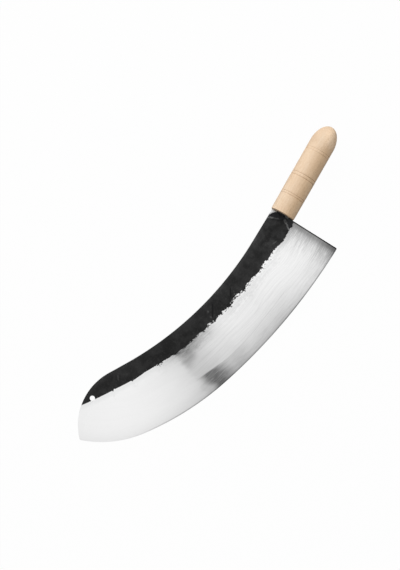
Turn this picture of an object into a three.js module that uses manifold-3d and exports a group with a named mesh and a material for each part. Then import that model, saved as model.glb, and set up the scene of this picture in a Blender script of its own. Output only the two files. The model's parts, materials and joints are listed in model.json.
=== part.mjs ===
// Mincing knife: a long curved blade forged in one piece with its tang, a turned wooden
// handle with a blind socket, and the compound that beds the tang in that socket.
//
// Units are millimetres. The knife is drawn with the handle's axis along X, towards the
// butt, the spine towards +Y and the faces of the blade towards +Z and -Z. X is zero at
// the front face of the handle. At the end the whole knife is laid on a table, as it
// comes to rest there, with +Z up.

import * as THREE from 'three';
import { ConvexHull } from 'three/addons/math/ConvexHull.js';
import { mergeVertices } from 'three/addons/utils/BufferGeometryUtils.js';
import Module from 'manifold-3d';

const { degToRad, euclideanModulo } = THREE.MathUtils;

// Between two neighbouring pieces
const CLEARANCE = 0.3;

// Handle
const HANDLE_LENGTH = 134.5;
const HANDLE_DIAMETER = 35;
const HANDLE_FRONT_DIAMETER = 34.4;
const HANDLE_SWELL_LENGTH = 50;
const HANDLE_RIM_CHAMFER = 0.7;
const BUTT_DOME_LENGTH = 27.5;
const GROOVE_WIDTH = 1;
const GROOVE_DEPTH = 0.45;
const FRONT_PAIR_FROM_FACE = 27.5;
const FRONT_PAIR_SPACING = 3.1;
const MIDDLE_PAIR_FROM_FACE = 56.1;
const MIDDLE_PAIR_SPACING = 4.4;
const REAR_PAIR_BEFORE_DOME = 12.2;
const REAR_PAIR_SPACING = 3.6;

// Back of the blade, from the handle to the nose; angles are in degrees
const SPINE_RISE = 15.4;
const SPINE_PITCH = 1.5;
const SPINE_STRAIGHT = 50;
const SPINE_RADIUS = 465;
const SPINE_SWEEP = 29.8;
const BACK_STRAIGHT = 25;
const NOSE_RADIUS = 80;

// Heel and cutting edge, from the heel to the tip
const SHOULDER_GAP = 0.8;
const SHOULDER_DROP = 17.5;
const HEEL_DROP = 86.8;
const HEEL_LEAN = 2.2;
const HEEL_ROUND = 2;
const EDGE_PITCH = 1.9;
const BELLY_RADIUS = 810;
const BELLY_SWEEP = 16.5;
const FORE_RADIUS = 400;
const FORE_SWEEP = 18.9;
const TIP_RADIUS = 147;
const TIP_ROUND = 2.5;

// Section of the blade
const SHOULDER_THICKNESS = 4.5;
const NOSE_THICKNESS = 3;
const SPINE_EASE = 0.6;
const GRIND_DROP = 18.5;
const GRIND_PITCH = 1.3;
const GRIND_RADIUS = 618;
const EDGE_BEVEL_WIDTH = 1.3;
const EDGE_BEVEL_THICKNESS = 0.7;
const EDGE_THICKNESS = 0.2;

// Hang hole, on a spoke of the nose arc; the spoke's angle is in degrees from +X
const HOLE_DIAMETER = 7.3;
const HOLE_INSET = 9.6;
const HOLE_SPOKE = 89;

// Tang and its bedding
const TANG_LENGTH = 84;
const TANG_ROOT_WIDTH = 14;
const TANG_END_WIDTH = 7;
const TANG_ROOT_THICKNESS = 4.1;
const TANG_END_THICKNESS = 2.6;
const TANG_POINT_LENGTH = 5;
const TANG_OVERLAP = 6;
const BEDDING_WALL = 0.8;
const BEDDING_END = 4;
const SOCKET_POINT_LENGTH = 4;
const BEAD_LENGTH = 3;
const BEAD_HEIGHT = 3;
const SMEAR_THICKNESS = 0.8;
const SMEAR_REACH = 12.5;
const SMEAR_RISE = 14.3;
const SMEAR_DROP = 20;

// Facets
const CHORD_ERROR = 0.02;
const HANDLE_SIDES = 48;
const SOCKET_SIDES = 32;
const HOLE_SIDES = 32;
const DOME_STEPS = 8;
const HEEL_ROUND_STEPS = 4;
const SMEAR_STEPS = 40;

// How far a cutting body runs past what it cuts
const CUT_MARGIN = 20;

// Grams per cubic millimetre
const STEEL_DENSITY = 7.85e-3;
const WOOD_DENSITY = 0.72e-3;
const BEDDING_DENSITY = 1.4e-3;

const LEFT = 1;
const RIGHT = -1;

const wasm = await Module();
wasm.setup();

// Solids

// A closed geometry with shared vertices, which may have arrived as loose triangles.
function weld(geometry) {
  const bare = new THREE.BufferGeometry();
  bare.setAttribute('position', geometry.getAttribute('position').clone());
  if (geometry.index) bare.setIndex(geometry.index.clone());
  const welded = mergeVertices(bare);
  const corners = welded.index.array;
  const kept = [];
  for (let i = 0; i < corners.length; i += 3) {
    const [a, b, c] = corners.slice(i, i + 3);
    if (a !== b && b !== c && c !== a) kept.push(a, b, c);
  }
  welded.setIndex(kept);
  return welded;
}

function toSolid(geometry) {
  const welded = weld(geometry);
  return new wasm.Manifold(new wasm.Mesh({
    numProp: 3,
    vertProperties: new Float32Array(welded.getAttribute('position').array),
    triVerts: new Uint32Array(welded.index.array),
  }));
}

function toGeometry(solid) {
  const mesh = solid.getMesh();
  const geometry = new THREE.BufferGeometry();
  geometry.setAttribute('position', new THREE.BufferAttribute(mesh.vertProperties, 3));
  geometry.setIndex(new THREE.BufferAttribute(mesh.triVerts, 1));
  return geometry;
}

// Volume, and volume times centre, of a closed geometry.
function volumeMoments(geometry) {
  const places = geometry.getAttribute('position');
  const corners = geometry.index.array;
  const [a, b, c] = [0, 0, 0].map(() => new THREE.Vector3());
  const moment = new THREE.Vector3();
  let volume = 0;
  for (let i = 0; i < corners.length; i += 3) {
    a.fromBufferAttribute(places, corners[i]);
    b.fromBufferAttribute(places, corners[i + 1]);
    c.fromBufferAttribute(places, corners[i + 2]);
    const piece = a.dot(new THREE.Vector3().crossVectors(b, c)) / 6;
    volume += piece;
    moment.addScaledVector(a.add(b).add(c), piece / 4);
  }
  return { volume, moment };
}

// A body through a row of convex rings that have as many points each, closed at its ends.
function loft(rings) {
  const sides = rings[0].length;
  const last = (rings.length - 1) * sides;
  const index = [];
  for (let r = 0; r < last; r += sides) {
    for (let i = 0; i < sides; i += 1) {
      const j = (i + 1) % sides;
      index.push(r + i, r + j, r + sides + j, r + i, r + sides + j, r + sides + i);
    }
  }
  for (let i = 1; i < sides - 1; i += 1) {
    index.push(0, i + 1, i, last, last + i, last + i + 1);
  }
  const geometry = new THREE.BufferGeometry().setFromPoints(rings.flat());
  geometry.setIndex(index);
  if (volumeMoments(geometry).volume < 0) geometry.setIndex(index.reverse());
  return toSolid(geometry);
}

// A body of revolution about X, from a profile of places along X and radii.
function turn(profile, sides) {
  const points = profile.map(([x, radius]) => new THREE.Vector2(radius, x));
  return toSolid(new THREE.LatheGeometry(points, sides).rotateZ(-Math.PI / 2));
}

// A flat outline made into a plate that reaches as far to +Z as to -Z.
function plate(outline, halfThickness) {
  const options = { depth: 2 * halfThickness, bevelEnabled: false };
  const geometry = new THREE.ExtrudeGeometry(outline, options);
  return toSolid(geometry.translate(0, 0, -halfThickness));
}

// Flat curves

function unit(angle) {
  return new THREE.Vector2(Math.cos(angle), Math.sin(angle));
}

// A pen that draws straight and round stretches, each in line with the one before. It
// starts towards -X, pitched up towards +Y, and keeps its heading at each point.
class Pen {
  constructor(start, pitch) {
    this.place = start.clone();
    this.heading = Math.PI - degToRad(pitch);
    this.points = [];
    this.mark();
  }

  mark() {
    this.points.push({ place: this.place.clone(), heading: this.heading });
  }

  // Another pen at the same place, with the same points so far.
  fork() {
    const pen = new Pen(this.place, 0);
    pen.heading = this.heading;
    pen.points = [...this.points];
    return pen;
  }

  // The centre of an arc that starts here.
  centre(radius, side) {
    return unit(this.heading + side * Math.PI / 2).multiplyScalar(radius).add(this.place);
  }

  forward(length) {
    this.place.addScaledVector(unit(this.heading), length);
    this.mark();
  }

  bend(radius, side, sweep) {
    const centre = this.centre(radius, side);
    const step = 2 * Math.acos(1 - CHORD_ERROR / radius);
    const steps = Math.ceil(sweep / step);
    for (let i = 0; i < steps; i += 1) {
      this.place.rotateAround(centre, side * sweep / steps);
      this.heading += side * sweep / steps;
      this.mark();
    }
  }

  // The sweep of an arc that starts here and ends on the ray from its centre to a target.
  sweepTo(centre, side, target) {
    const from = this.place.clone().sub(centre).angle();
    const to = target.clone().sub(centre).angle();
    return euclideanModulo(side * (to - from), 2 * Math.PI);
  }
}

// Where two circles cross, on the left when looking from the first centre to the second.
function crossingOnLeft(centreA, radiusA, centreB, radiusB) {
  const across = centreB.clone().sub(centreA);
  const distance = across.length();
  const along = (distance ** 2 + radiusA ** 2 - radiusB ** 2) / (2 * distance);
  const aside = Math.sqrt(radiusA ** 2 - along ** 2);
  const direction = across.normalize();
  const left = new THREE.Vector2(-direction.y, direction.x);
  return centreA.clone().addScaledVector(direction, along).addScaledVector(left, aside);
}

// Blade

const shoulderTop = new THREE.Vector2(-SHOULDER_GAP, SPINE_RISE);
const shoulderFoot = new THREE.Vector2(-SHOULDER_GAP, -SHOULDER_DROP);
const heelUp = unit(Math.PI / 2 - degToRad(HEEL_LEAN));
const heelLength = (HEEL_DROP - SHOULDER_DROP) / heelUp.y;
const heelCorner = shoulderFoot.clone().addScaledVector(heelUp, -heelLength);

// The back runs from the shoulder to where the nose arc begins.
function drawBack() {
  const pen = new Pen(shoulderTop, SPINE_PITCH);
  pen.forward(SPINE_STRAIGHT);
  pen.bend(SPINE_RADIUS, RIGHT, degToRad(SPINE_SWEEP));
  pen.forward(BACK_STRAIGHT);
  return pen;
}

// The edge runs from where the heel's rounding ends to where the tip arc begins.
function drawEdge() {
  const pen = new Pen(heelCorner, EDGE_PITCH);
  const rounding = HEEL_ROUND / BELLY_RADIUS;
  pen.bend(BELLY_RADIUS, RIGHT, rounding);
  pen.points.shift();
  pen.bend(BELLY_RADIUS, RIGHT, degToRad(BELLY_SWEEP) - rounding);
  pen.bend(FORE_RADIUS, RIGHT, degToRad(FORE_SWEEP));
  return pen;
}

const back = drawBack();
const edge = drawEdge();
const noseCentre = back.centre(NOSE_RADIUS, LEFT);
const tipCentre = edge.centre(TIP_RADIUS, RIGHT);
const tipRoundCentre = crossingOnLeft(
  noseCentre, NOSE_RADIUS - TIP_ROUND, tipCentre, TIP_RADIUS - TIP_ROUND,
);
back.bend(NOSE_RADIUS, LEFT, back.sweepTo(noseCentre, LEFT, tipRoundCentre));
edge.bend(TIP_RADIUS, RIGHT, edge.sweepTo(tipCentre, RIGHT, tipRoundCentre));

function bladeOutline() {
  const pen = back.fork();
  pen.bend(TIP_ROUND, LEFT, pen.sweepTo(tipRoundCentre, LEFT, edge.place));
  pen.points.pop();
  const edgePlaces = edge.points.map((point) => point.place);
  const heelRound = new THREE.QuadraticBezierCurve(
    edgePlaces[0], heelCorner, heelCorner.clone().addScaledVector(heelUp, HEEL_ROUND),
  );
  return new THREE.Shape([
    ...pen.points.map((point) => point.place),
    ...edgePlaces.reverse(),
    ...heelRound.getPoints(HEEL_ROUND_STEPS).slice(1),
    shoulderFoot,
  ]);
}

const outline = bladeOutline();
const outlineBox = new THREE.Box2().setFromPoints(outline.getPoints());

// Half the thickness of the unground blade, which thins evenly from shoulder to tip.
function stockHalf(x) {
  const share = (shoulderTop.x - x) / (shoulderTop.x - outlineBox.min.x);
  return THREE.MathUtils.lerp(SHOULDER_THICKNESS, NOSE_THICKNESS, share) / 2;
}

// The unground blade's two faces, as a wide slab that ends at a given place along X.
function stockSlab(endX, grow) {
  const low = outlineBox.min.y - CUT_MARGIN;
  const high = outlineBox.max.y + CUT_MARGIN;
  const rings = [outlineBox.min.x - CUT_MARGIN, endX].map((x) => {
    const half = stockHalf(x) + grow;
    const corners = [[low, -half], [high, -half], [high, half], [low, half]];
    return corners.map(([y, z]) => new THREE.Vector3(x, y, z));
  });
  return loft(rings);
}

// The wedge that the grinding leaves. It has a rib at each point of the edge, square to
// the edge, and its faces meet those of the stock on the grind line, which is an arc.
function grindingWedge() {
  const start = new Pen(new THREE.Vector2(0, -GRIND_DROP), GRIND_PITCH);
  const grindCentre = start.centre(GRIND_RADIUS, RIGHT);
  const bevelSlope = (EDGE_BEVEL_THICKNESS - EDGE_THICKNESS) / 2 / EDGE_BEVEL_WIDTH;
  const edgeHalf = EDGE_THICKNESS / 2;
  const bevelHalf = EDGE_BEVEL_THICKNESS / 2;
  const lead = -edgeHalf / bevelSlope / 2;

  function rib({ place, heading }) {
    const inward = unit(heading - Math.PI / 2);
    const at = (depth) => place.clone().addScaledVector(inward, depth);
    const toCentre = grindCentre.clone().sub(place);
    const along = toCentre.dot(inward);
    const aside = toCentre.cross(inward);
    const grindDepth = along - Math.sqrt(GRIND_RADIUS ** 2 - aside ** 2);
    const grindHalf = stockHalf(at(grindDepth).x);
    const slope = (grindHalf - bevelHalf) / (grindDepth - EDGE_BEVEL_WIDTH);
    const reach = grindDepth + HEEL_DROP;
    const profile = [
      [lead, edgeHalf + bevelSlope * lead],
      [EDGE_BEVEL_WIDTH, bevelHalf],
      [grindDepth, grindHalf],
      [reach, grindHalf + slope * HEEL_DROP],
    ];
    const upper = profile.map(([depth, half]) => [at(depth), half]);
    const lower = upper.map(([point, half]) => [point, -half]).reverse();
    return [...upper, ...lower].map(([point, z]) => new THREE.Vector3(point.x, point.y, z));
  }

  const pen = edge.fork();
  pen.bend(TIP_RADIUS, RIGHT, CUT_MARGIN / TIP_RADIUS);
  const { place, heading } = pen.points[0];
  const leadIn = place.clone().addScaledVector(unit(heading), -CUT_MARGIN);
  return loft([{ place: leadIn, heading }, ...pen.points].map(rib));
}

// Takes the sharp corner off the back of the blade, above or below.
function spineEaser(side) {
  const rings = back.points.map(({ place, heading }) => {
    const inward = unit(heading + Math.PI / 2);
    const half = stockHalf(place.x);
    const section = [
      [-SPINE_EASE, half - 2 * SPINE_EASE],
      [2 * SPINE_EASE, half + SPINE_EASE],
      [-SPINE_EASE, half + SPINE_EASE],
    ];
    return section.map(([depth, z]) => {
      const point = place.clone().addScaledVector(inward, depth);
      return new THREE.Vector3(point.x, point.y, side * z);
    });
  });
  const first = rings[0].map((point) => point.clone().setX(point.x + CUT_MARGIN));
  return loft([first, ...rings]);
}

function hangHole() {
  const spoke = unit(degToRad(HOLE_SPOKE)).multiplyScalar(NOSE_RADIUS - HOLE_INSET);
  const centre = noseCentre.clone().add(spoke);
  const radius = HOLE_DIAMETER / 2;
  const drill = new THREE.CylinderGeometry(radius, radius, CUT_MARGIN, HOLE_SIDES);
  return toSolid(drill.rotateX(Math.PI / 2).translate(centre.x, centre.y, 0));
}

// The tang, or the room for it when it is grown by a clearance.
function tang(grow) {
  const taperEnd = TANG_LENGTH - TANG_POINT_LENGTH;
  const stations = [
    [-TANG_OVERLAP, TANG_ROOT_WIDTH, TANG_ROOT_THICKNESS],
    [0, TANG_ROOT_WIDTH, TANG_ROOT_THICKNESS],
    [taperEnd, TANG_END_WIDTH, TANG_END_THICKNESS],
    [TANG_LENGTH + grow, TANG_END_WIDTH / 2, TANG_END_THICKNESS / 2],
  ];
  const rings = stations.map(([x, width, thickness]) => {
    const y = width / 2 + grow;
    const z = thickness / 2 + grow;
    const corners = [[-y, -z], [y, -z], [y, z], [-y, z]];
    return corners.map(([cornerY, cornerZ]) => new THREE.Vector3(x, cornerY, cornerZ));
  });
  return loft(rings);
}

function makeBlade() {
  const reach = CUT_MARGIN / 2;
  return plate(outline, SHOULDER_THICKNESS)
    .intersect(stockSlab(reach, 0))
    .intersect(grindingWedge())
    .subtract(spineEaser(1))
    .subtract(spineEaser(-1))
    .subtract(hangHole())
    .add(tang(0));
}

// Handle and bedding

const tangHalfDiagonal = Math.hypot(TANG_ROOT_WIDTH, TANG_ROOT_THICKNESS) / 2;
const beddingRadius = tangHalfDiagonal + CLEARANCE + BEDDING_WALL;
const beddingDepth = TANG_LENGTH + CLEARANCE + BEDDING_END;
const socketRadius = beddingRadius + CLEARANCE;
const socketDepth = beddingDepth + CLEARANCE;

function makeHandle() {
  const domeStart = HANDLE_LENGTH - BUTT_DOME_LENGTH;
  const fullRadius = HANDLE_DIAMETER / 2;
  const frontRadius = HANDLE_FRONT_DIAMETER / 2;

  function radiusAt(x) {
    const swell = THREE.MathUtils.smoothstep(x, -HANDLE_SWELL_LENGTH, HANDLE_SWELL_LENGTH);
    const barrel = THREE.MathUtils.lerp(frontRadius, fullRadius, 2 * swell - 1);
    const intoDome = Math.max(0, x - domeStart) / BUTT_DOME_LENGTH;
    return barrel * Math.sqrt(1 - intoDome ** 2);
  }

  function groove(x) {
    const half = GROOVE_WIDTH / 2;
    return [
      [x - half, radiusAt(x - half)],
      [x, radiusAt(x) - GROOVE_DEPTH],
      [x + half, radiusAt(x + half)],
    ];
  }

  const pairs = [
    [FRONT_PAIR_FROM_FACE, FRONT_PAIR_SPACING],
    [MIDDLE_PAIR_FROM_FACE, MIDDLE_PAIR_SPACING],
    [domeStart - REAR_PAIR_BEFORE_DOME, REAR_PAIR_SPACING],
  ];
  const grooves = pairs.flatMap(([middle, spacing]) => [
    ...groove(middle - spacing / 2),
    ...groove(middle + spacing / 2),
  ]);
  const dome = Array.from({ length: DOME_STEPS + 1 }, (_, step) => {
    const turned = (step / DOME_STEPS) * Math.PI / 2;
    return [domeStart + BUTT_DOME_LENGTH * Math.sin(turned), fullRadius * Math.cos(turned)];
  });
  dome[DOME_STEPS] = [HANDLE_LENGTH, 0];
  return turn([
    [socketDepth + SOCKET_POINT_LENGTH, 0],
    [socketDepth, socketRadius],
    [0, socketRadius],
    [0, frontRadius - HANDLE_RIM_CHAMFER],
    [HANDLE_RIM_CHAMFER, radiusAt(HANDLE_RIM_CHAMFER)],
    ...grooves,
    ...dome,
  ], HANDLE_SIDES);
}

// The smear that was pressed out of the socket, seen from the blade's face: a hump that
// leaves the spine's corner bare, a notch, and a tab on the edge's side. Its points are
// shares of its reach along the blade, and of its height above or its depth below the axis.
function smearOutline() {
  const hump = [[0, 0.43], [0.25, 0.73], [0.45, 0.93], [0.9, 1], [1, 0.8], [0.85, 0.2]];
  const tab = [[0.42, 0.27], [0.62, 0.47], [0.92, 0.8], [0.7, 1], [0.4, 0.92], [0, 0.82]];
  const along = (share) => Math.min(-CLEARANCE, -share * SMEAR_REACH);
  const points = [
    ...hump.map(([reach, rise]) => new THREE.Vector2(along(reach), rise * SMEAR_RISE)),
    ...tab.map(([reach, drop]) => new THREE.Vector2(along(reach), -drop * SMEAR_DROP)),
  ];
  return new THREE.Shape(new THREE.SplineCurve(points).getPoints(SMEAR_STEPS));
}

function makeBedding() {
  const rootEnd = CLEARANCE - SHOULDER_GAP;
  const plug = turn([
    [-BEAD_LENGTH, 0],
    [-BEAD_LENGTH, beddingRadius - BEAD_HEIGHT],
    [-CLEARANCE, beddingRadius],
    [beddingDepth, beddingRadius],
    [beddingDepth + SOCKET_POINT_LENGTH, 0],
  ], SOCKET_SIDES);
  const smearTop = stockHalf(shoulderTop.x) + CLEARANCE + SMEAR_THICKNESS;
  return plug
    .add(plate(smearOutline(), smearTop))
    .subtract(stockSlab(rootEnd, CLEARANCE))
    .subtract(tang(CLEARANCE));
}

// Assembly

const steel = new THREE.MeshStandardMaterial({
  color: 0xd6d6d3, metalness: 1, roughness: 0.35,
});
const wood = new THREE.MeshStandardMaterial({
  color: 0xe3c7a2, metalness: 0, roughness: 0.6,
});
const compound = new THREE.MeshStandardMaterial({
  color: 0x14161a, metalness: 0, roughness: 0.3,
});

function piece(name, solid, material, density) {
  const mesh = new THREE.Mesh(toGeometry(solid), material);
  mesh.name = name;
  mesh.userData.density = density;
  return mesh;
}

// Turns and lifts the knife so that it rests on the face of its hull that lies under its
// centre of mass, with the middle of its footprint at the origin.
function layOnTable(knife) {
  const points = [];
  const moment = new THREE.Vector3();
  let mass = 0;
  for (const { geometry, userData } of knife.children) {
    const places = geometry.getAttribute('position');
    for (let i = 0; i < places.count; i += 1) {
      points.push(new THREE.Vector3().fromBufferAttribute(places, i));
    }
    const share = volumeMoments(geometry);
    mass += share.volume * userData.density;
    moment.addScaledVector(share.moment, userData.density);
  }
  const centre = moment.divideScalar(mass);
  const heightUnder = ({ normal, constant }) => (
    (constant - normal.x * centre.x - normal.y * centre.y) / normal.z
  );
  const resting = new ConvexHull().setFromPoints(points).faces
    .filter((face) => face.normal.z < 0)
    .reduce((best, face) => (heightUnder(face) > heightUnder(best) ? face : best));
  const down = new THREE.Vector3(0, 0, -1);
  knife.quaternion.setFromUnitVectors(resting.normal, down);
  const box = new THREE.Box3().setFromPoints(
    points.map((point) => point.applyQuaternion(knife.quaternion)),
  );
  const middle = box.getCenter(new THREE.Vector3());
  knife.position.set(-middle.x, -middle.y, -box.min.z);
}

const knife = new THREE.Group();
knife.add(
  piece('blade', makeBlade(), steel, STEEL_DENSITY),
  piece('handle', makeHandle(), wood, WOOD_DENSITY),
  piece('tang_bedding', makeBedding(), compound, BEDDING_DENSITY),
);
layOnTable(knife);

const object = new THREE.Group();
object.add(knife);

export default object;
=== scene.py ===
import json
import math

import bmesh
import bpy
import numpy as np
from mathutils import Matrix, Vector, kdtree, noise


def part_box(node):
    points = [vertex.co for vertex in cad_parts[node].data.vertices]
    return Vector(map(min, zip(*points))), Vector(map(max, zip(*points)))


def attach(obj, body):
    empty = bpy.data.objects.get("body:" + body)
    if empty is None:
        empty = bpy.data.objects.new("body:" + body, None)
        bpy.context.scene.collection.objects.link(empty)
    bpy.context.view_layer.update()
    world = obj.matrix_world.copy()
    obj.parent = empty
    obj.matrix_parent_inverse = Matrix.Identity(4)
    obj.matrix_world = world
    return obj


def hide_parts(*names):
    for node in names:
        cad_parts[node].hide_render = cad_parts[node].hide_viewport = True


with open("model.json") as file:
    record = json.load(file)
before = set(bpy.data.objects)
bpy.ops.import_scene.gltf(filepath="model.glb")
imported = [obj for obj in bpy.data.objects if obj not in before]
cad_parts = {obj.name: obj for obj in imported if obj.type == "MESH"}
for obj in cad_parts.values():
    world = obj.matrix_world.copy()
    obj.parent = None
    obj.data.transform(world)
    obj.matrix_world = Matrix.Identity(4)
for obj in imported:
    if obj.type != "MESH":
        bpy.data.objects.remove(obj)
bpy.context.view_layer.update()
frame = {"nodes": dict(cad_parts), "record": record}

# A mincing knife on a pale floor. Lengths are millimetres and angles are degrees until a mesh
# is made. The knife's own axes are X along the handle, from its front face to its butt, Y
# towards the spine, and Z out of the face that the camera looks at.
MM = 0.001

# Handle
HANDLE_LENGTH = 134.45
HANDLE_RADIUS = 17.44
HANDLE_FRONT_RADIUS = 17.16
HANDLE_SWELL_LENGTH = 50
RIM_ROUND = 0.9
BUTT_DOME_LENGTH = 27.5
DOME_START = HANDLE_LENGTH - BUTT_DOME_LENGTH
GROOVE_WIDTH = 1
GROOVE_DEPTH = 0.45
SOCKET_RADIUS = 8.7
SOCKET_DEPTH = 88.6
SOCKET_POINT = 4
TOOL_MARK_PITCH = 0.9
TOOL_MARK_DEPTH = 0.012
OUT_OF_ROUND = 0.04
LOBE_SHARE = 1.5
LOBE_LENGTH = 40
MOUTH_MARGIN = 2
# Where the painted shade on the front face and mouth reaches
MOUTH_SHADE_REACH = (0.8, 0.1)

# Grooves, two by two: where each one lies along the handle and how strongly it is cut
GROOVES = ((25.95, 0.85), (29.05, 0.85), (53.9, 1), (58.3, 1), (93, 0.55), (96.6, 0.55))

# Back of the blade, from the handle to the nose
SHOULDER_TOP = (-0.8, 15.4)
SPINE_PITCH = 1.5
SPINE_STRAIGHT = 50
SPINE_RADIUS = 465
SPINE_SWEEP = 29.8
BACK_STRAIGHT = 25
NOSE_RADIUS = 80

# Heel and cutting edge, from the heel to the tip
SHOULDER_FOOT = (-0.8, -17.5)
HEEL_CORNER = (-3.46, -86.8)
HEEL_ROUND = 2
EDGE_PITCH = 1.9
BELLY_RADIUS = 810
BELLY_SWEEP = 16.5
FORE_RADIUS = 400
FORE_SWEEP = 18.9
TIP_RADIUS = 147
TIP_ROUND = 2.5

# Section of the blade
SHOULDER_THICKNESS = 4.5
NOSE_THICKNESS = 3
SPINE_EASE = 0.9
SPINE_EASE_SHARE = 0.45
GRIND_DROP = 18.5
GRIND_PITCH = 1.3
GRIND_RADIUS = 618
EDGE_BEVEL_WIDTH = 1.3
EDGE_BEVEL_THICKNESS = 0.7
EDGE_THICKNESS = 0.2
HEEL_CHAMFER_WIDTH = 1.6
HEEL_CHAMFER_DEPTH = 0.35
HEEL_CHAMFER_SHARE = 0.4
HOLE_RADIUS = 3.65
HOLE_INSET = 9.6
HOLE_SPOKE = 89
HOLE_EASE = 0.35

# Tang
TANG_LENGTH = 84
TANG_POINT = 5
TANG_ROOT = (14, 4.1)
TANG_END = (7, 2.6)
TANG_OVERLAP = 0.2

# Relief of the blade's faces
FACE_SEEDS = (3.5, 8.5)
RELIEF_START = 6
SCALE_THICKNESS = 0.05
SCALE_STEP = 0.3
INSIDE_SCALE = 5
HAMMER_DEPTH = 0.09
HAMMER_SIZE = (24, 17)
DENT_DEPTH = 0.03
DENT_SIZE = (7, 6)
GRINDING_DEPTH = 0.012
GRINDING_SIZE = (120, 7)

# Bays and tongues of the border between scale and grinding: runs along the edge and rises
WAVER = (
    (0, 0), (16, -0.4), (32, -2.1), (44, 0.7), (60, 1.8), (66, 1), (74, 3.4), (83, 0.8), (97, 1),
    (107, 3), (116, 1.6), (124, 0.2), (131, 2.4), (138, 2.6), (150, 1.4), (158, -1.3), (166, 1.5),
    (186, -0.4), (191, -0.6), (194, 1.8), (200, 0.8), (207, -2.1), (214, 0.2), (230, -1.5), (243, -2.2),
    (250, -3), (256, -1.7), (266, -2.8), (271, -0.6), (298, 0.2), (300.5, 2.2), (303, -0.5),
    (306, 0.8), (324, 1.4), (344, 0.3), (346, 1.4), (348.5, -0.9), (351, 1.1), (380, 1.7), (389, 1.7),
    (391.5, 3.1), (394, 0.2), (397, 1.7))

# Facets
LINE_STEP = 0.5
COLUMNS = 540
EDGE_ROWS = 4
GROUND_ROWS = 34
BORDER_ROWS = 26
SCALE_ROWS = 16
EASE_ROWS = 4
EDGE_ZONE = 1.5
BORDER_ZONE = 7
EASE_ZONE = 1
ZONE_SHARE = 0.1
LEAST_SHARE = 0.05
HEEL_BLEND = 12
RIM_ROWS = 3
HOLE_MARGIN = 2.5
HOLE_RINGS = 6
HANDLE_SIDES = 144
DOME_STATIONS = 33
RIM_STATIONS = 9
GROOVE_STATIONS = 9
GROOVE_MARGIN = 0.6
MOUTH_RINGS = 6
SHARP_ANGLE = 40

# The photograph's frame, looked at square to the blade's face
PIXEL = 35 / 26
PHOTO_HEIGHT = 570
VIEW_HEIGHT = PHOTO_HEIGHT * PIXEL
VIEW_MIDDLE = (-137.6, 49.1, 0)
VIEW_RIGHT = (0.49569, -0.86850, 0)
VIEW_UP = (0.86850, 0.49569, 0)
VIEW_DISTANCE = 1150
SENSOR = 36


# Small functions

SQUARE = np.array([(-0.5, -0.5), (0.5, -0.5), (0.5, 0.5), (-0.5, 0.5)])


def fade(value, start, end):
    """0 before start, 1 after end and smooth between them. Start may be the larger one."""
    share = np.clip((value - start) / (end - start), 0, 1)
    return share * share * (3 - 2 * share)


def noise_at(places, seed):
    """Smooth noise, from about -1 to 1, at each flat place."""
    return np.array([noise.noise((x, y, seed)) for x, y in places])


def unit(angle):
    """The way that an angle points, or the ways that several do."""
    return np.stack([np.cos(angle), np.sin(angle)], axis=-1)


def angle_of(way):
    return math.atan2(way[1], way[0])


def around(grid):
    """The indices round a grid's border."""
    return np.array([*grid[0], *grid[1:, -1], *grid[-1, -2::-1], *grid[-2:0:-1, 0]])


def bands(rows):
    """Quads between closed rows of indices, from each row to the next."""
    quads = []
    for low, high in zip(rows, rows[1:]):
        quads += np.column_stack([low, np.roll(low, -1), np.roll(high, -1), high]).tolist()
    return quads


def find_knife():
    """The knife's axes as columns, and its origin, in the row frame."""
    corners = np.array([vertex.co for vertex in frame["nodes"]["handle"].data.vertices])
    corners = np.unique(corners.round(6), axis=0)
    middle = corners.mean(axis=0)
    along = np.linalg.svd(corners - middle, full_matrices=False)[2][0]
    blade_middle = np.mean(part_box("blade"), axis=0)
    along *= np.sign(along @ (middle - blade_middle))
    faces = {mount["name"]: np.array(mount["axis"]) for mount in frame["record"]["mounts"]}
    up = faces["rack_face_upper"] - faces["rack_face_lower"]
    up -= along * (up @ along)
    up /= np.linalg.norm(up)
    front = middle + along * ((corners - middle) @ along).min()
    return np.column_stack([along, np.cross(up, along), up]), front


knife_axes, knife_origin = find_knife()


def to_row_frame(places):
    """Places in the knife's axes, in millimetres, as places in the row frame, in metres."""
    return np.asarray(places, float) * MM @ knife_axes.T + knife_origin


def to_knife(places):
    """Places in the row frame, in metres, as places in the knife's axes, in millimetres."""
    return (np.asarray(places, float) - knife_origin) @ knife_axes / MM


def add_object(name, data):
    added = bpy.data.objects.new(name, data)
    bpy.context.scene.collection.objects.link(added)
    return added


def make_piece(name, places, faces, facts, material):
    """A piece from places in the knife's axes, with a value or a vector of each fact for each."""
    mesh = bpy.data.meshes.new(name)
    mesh.from_pydata(to_row_frame(places).tolist(), [], faces)
    for fact, values in facts.items():
        kind, field = ("FLOAT_VECTOR", "vector") if values.ndim == 2 else ("FLOAT", "value")
        attribute = mesh.attributes.new(fact, kind, "POINT")
        attribute.data.foreach_set(field, values.astype(np.float32).ravel())
    mesh.materials.append(material)
    mesh.shade_smooth()
    mesh.set_sharp_from_angle(angle=math.radians(SHARP_ANGLE))
    return add_object(name, mesh)


# Flat lines

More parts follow.
